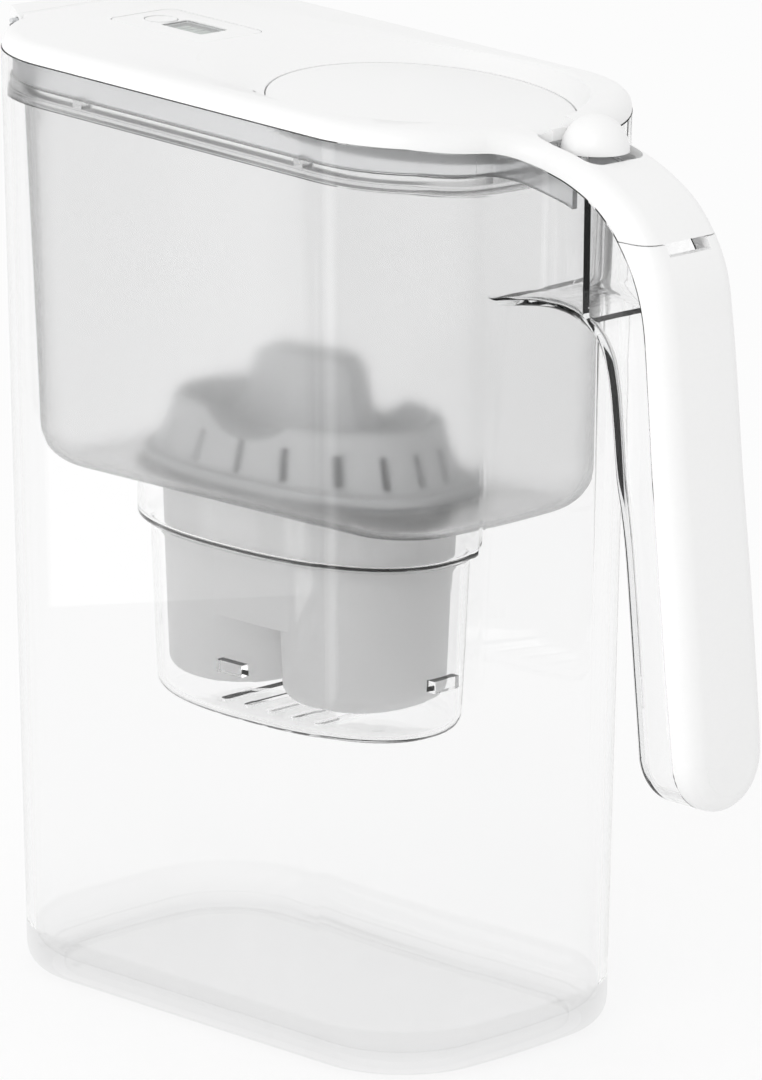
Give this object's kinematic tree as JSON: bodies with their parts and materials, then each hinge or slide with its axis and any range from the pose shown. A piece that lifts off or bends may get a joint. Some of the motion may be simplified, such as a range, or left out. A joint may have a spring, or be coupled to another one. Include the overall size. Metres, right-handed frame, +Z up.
{
  "type": "water filter pitcher",
  "caption": "Clear jug with a lift-out filter tray and cartridge, a lid with a flip refill flap, a spout flap and a filter-change timer, and a cantilever handle.",
  "frame": {"origin": "middle of the bounding box in plan, at the height of the foot that it stands on", "axes": "+Z up, +X from the beak towards the handle, +Y across the jug"},
  "size_m": [0.2574, 0.108, 0.272],
  "materials": {
    "clear_plastic": "clear, polished",
    "frosted_plastic": "frosted, translucent",
    "white_plastic": "satin white",
    "grey_plastic": "light grey, translucent",
    "cartridge_plastic": "satin off-white",
    "soft_seal": "matt, soft",
    "granules": "black and white granules",
    "mesh": "woven mesh",
    "display_window": "dark tinted, polished",
    "display": "grey-green with dark bars",
    "board": "green lacquer",
    "steel": "bright",
    "timer_plastic": "light grey, fine grain"
  },
  "bodies": {
    "jug": {"jug_body": "clear_plastic", "handle_grip_cover": "white_plastic"},
    "hopper": {"hopper": "frosted_plastic", "filter_well": "clear_plastic"},
    "cartridge": {"cartridge_cap": "cartridge_plastic", "cartridge_body": "cartridge_plastic", "cartridge_seal": "soft_seal", "inlet_screen": "mesh", "filter_media": "granules", "outlet_screen_front": "mesh", "outlet_screen_back": "mesh"},
    "lid": {"lid_shell": "white_plastic", "lid_inner_ring": "grey_plastic", "flap_hinge_pin": "steel", "spout_hinge_pin": "steel", "timer_fascia": "white_plastic", "lcd_window": "display_window", "lcd_panel": "display", "timer_switch": "timer_plastic", "timer_circuit_board": "board", "coin_cell": "steel", "cell_clip": "steel", "cell_spring_contact": "steel", "timer_case": "timer_plastic"},
    "refill_flap": {"refill_flap": "white_plastic"},
    "spout_flap": {"spout_flap": "white_plastic"},
    "timer_button": {"timer_button": "white_plastic"},
    "battery_door": {"battery_door": "timer_plastic", "battery_door_seal": "soft_seal"}
  },
  "joints": [
    {"name": "hopper_lift", "type": "slide", "parent": "jug", "child": "hopper", "axis": [0, 0, 1], "range_m": [0, 0.19]},
    {"name": "cartridge_lift", "type": "slide", "parent": "hopper", "child": "cartridge", "axis": [0, 0, 1], "range_m": [0, 0.18]},
    {"name": "lid_lift", "type": "slide", "parent": "cartridge", "child": "lid", "axis": [0, 0, 1], "range_m": [0, 0.06]},
    {"name": "refill_flap_hinge", "type": "hinge", "parent": "lid", "child": "refill_flap", "pos_m": [0.06045, 0, 0.258], "axis": [0, 1, 0], "range_deg": [0, 40]},
    {"name": "spout_flap_hinge", "type": "hinge", "parent": "lid", "child": "spout_flap", "pos_m": [-0.11855, 0, 0.26989], "axis": [0, 1, 0], "range_deg": [0, 70]},
    {"name": "timer_button_press", "type": "slide", "parent": "lid", "child": "timer_button", "axis": [0, 0, -1], "range_m": [0, 0.0005], "stiffness_N_per_m": 400},
    {"name": "battery_door_twist", "type": "hinge", "parent": "lid", "child": "battery_door", "pos_m": [-0.08005, 0, 0.256], "axis": [0, 0, 1], "range_deg": [0, 45]}
  ]
}
